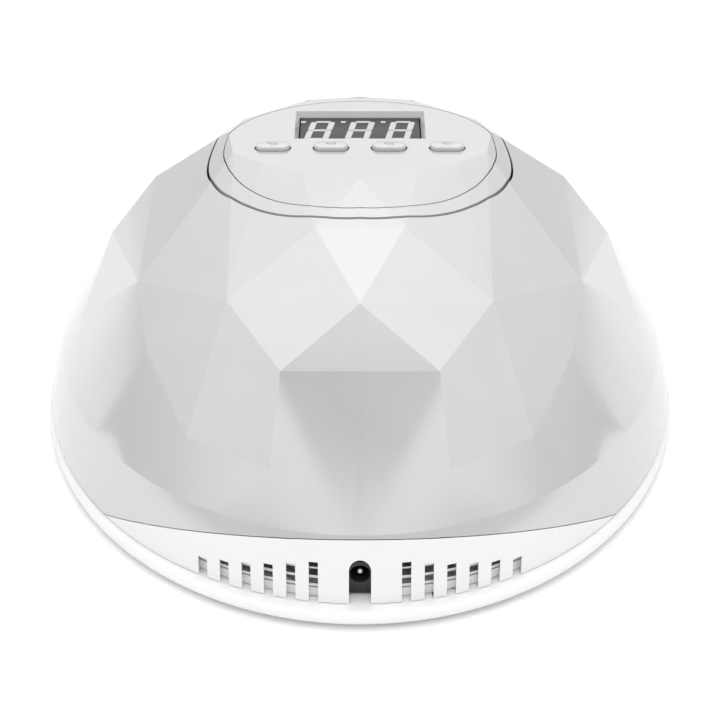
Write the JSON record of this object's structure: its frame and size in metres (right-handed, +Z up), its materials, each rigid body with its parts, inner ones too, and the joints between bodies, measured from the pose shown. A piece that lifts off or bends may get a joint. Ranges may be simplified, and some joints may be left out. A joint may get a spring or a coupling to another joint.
{
  "type": "uv curing lamp",
  "caption": "Faceted domed lamp that cures gel under ultraviolet light, with a hand cavity in front, a panel with display and buttons on top, rear vents and a loose tray.",
  "frame": {"origin": "middle of the tray's footprint, on the surface its feet stand on", "axes": "+Z up, the hand cavity opens towards -Y, the power inlet faces +Y, +X to the right seen from the front"},
  "size_m": [0.2076, 0.232, 0.0965],
  "materials": {
    "pearl_shell": "pearl white gloss",
    "white_frame": "satin white",
    "tray_white": "satin white",
    "hood_white": "gloss white reflector",
    "display_grey": "dark grey face with pale unlit segments",
    "black_moulding": "black moulding",
    "sensor_tint": "dark tinted lens",
    "board_green": "solder mask",
    "lamp_board_white": "white solder mask with clear lamp beads",
    "lead_jacket": "red jacket",
    "foot_rubber": "soft grey",
    "magnet_nickel": "nickel plate",
    "screw_steel": "zinc plated"
  },
  "bodies": {
    "tray": {"base_tray": "tray_white", "tray_foot_1": "foot_rubber", "tray_foot_2": "foot_rubber", "tray_foot_3": "foot_rubber", "tray_foot_4": "foot_rubber", "tray_magnet_1": "magnet_nickel", "tray_magnet_2": "magnet_nickel", "tray_magnet_3": "magnet_nickel", "tray_magnet_4": "magnet_nickel"},
    "housing": {"outer_shell": "pearl_shell", "base_frame": "white_frame", "inner_hood": "hood_white", "control_panel": "pearl_shell", "panel_rim": "pearl_shell", "display_module": "display_grey", "control_board": "board_green", "dc_jack": "black_moulding", "jack_board": "board_green", "lamp_board_top": "lamp_board_white", "lamp_board_left": "lamp_board_white", "lamp_board_right": "lamp_board_white", "lamp_board_rear": "lamp_board_white", "sensor_board": "board_green", "sensor_emitter": "sensor_tint", "sensor_receiver": "sensor_tint", "supply_lead": "lead_jacket", "lamp_lead_left": "lead_jacket", "lamp_lead_right": "lead_jacket", "lamp_lead_rear": "lead_jacket", "housing_magnet_1": "magnet_nickel", "tact_switch_1": "black_moulding", "housing_screw_1": "screw_steel", "hood_screw_1": "screw_steel", "board_screw_1": "screw_steel", "housing_magnet_2": "magnet_nickel", "tact_switch_2": "black_moulding", "housing_screw_2": "screw_steel", "hood_screw_2": "screw_steel", "board_screw_2": "screw_steel", "housing_magnet_3": "magnet_nickel", "tact_switch_3": "black_moulding", "housing_screw_3": "screw_steel", "hood_screw_3": "screw_steel", "board_screw_3": "screw_steel", "housing_magnet_4": "magnet_nickel", "tact_switch_4": "black_moulding", "housing_screw_4": "screw_steel", "hood_screw_4": "screw_steel", "board_screw_4": "screw_steel"},
    "button_10s": {"button_10s": "pearl_shell"},
    "button_30s": {"button_30s": "pearl_shell"},
    "button_60s": {"button_60s": "pearl_shell"},
    "button_99s": {"button_99s": "pearl_shell"}
  },
  "joints": [
    {"name": "housing_lift", "type": "slide", "parent": "tray", "child": "housing", "axis": [0, 0, 1], "range_m": [0, 0.06]},
    {"name": "button_10s_press", "type": "slide", "parent": "housing", "child": "button_10s", "axis": [0, 0, -1], "range_m": [0, 0.0008], "stiffness_N_per_m": 600, "springref_m": -0.0008},
    {"name": "button_30s_press", "type": "slide", "parent": "housing", "child": "button_30s", "axis": [0, 0, -1], "range_m": [0, 0.0008], "stiffness_N_per_m": 600, "springref_m": -0.0008},
    {"name": "button_60s_press", "type": "slide", "parent": "housing", "child": "button_60s", "axis": [0, 0, -1], "range_m": [0, 0.0008], "stiffness_N_per_m": 600, "springref_m": -0.0008},
    {"name": "button_99s_press", "type": "slide", "parent": "housing", "child": "button_99s", "axis": [0, 0, -1], "range_m": [0, 0.0008], "stiffness_N_per_m": 600, "springref_m": -0.0008}
  ]
}
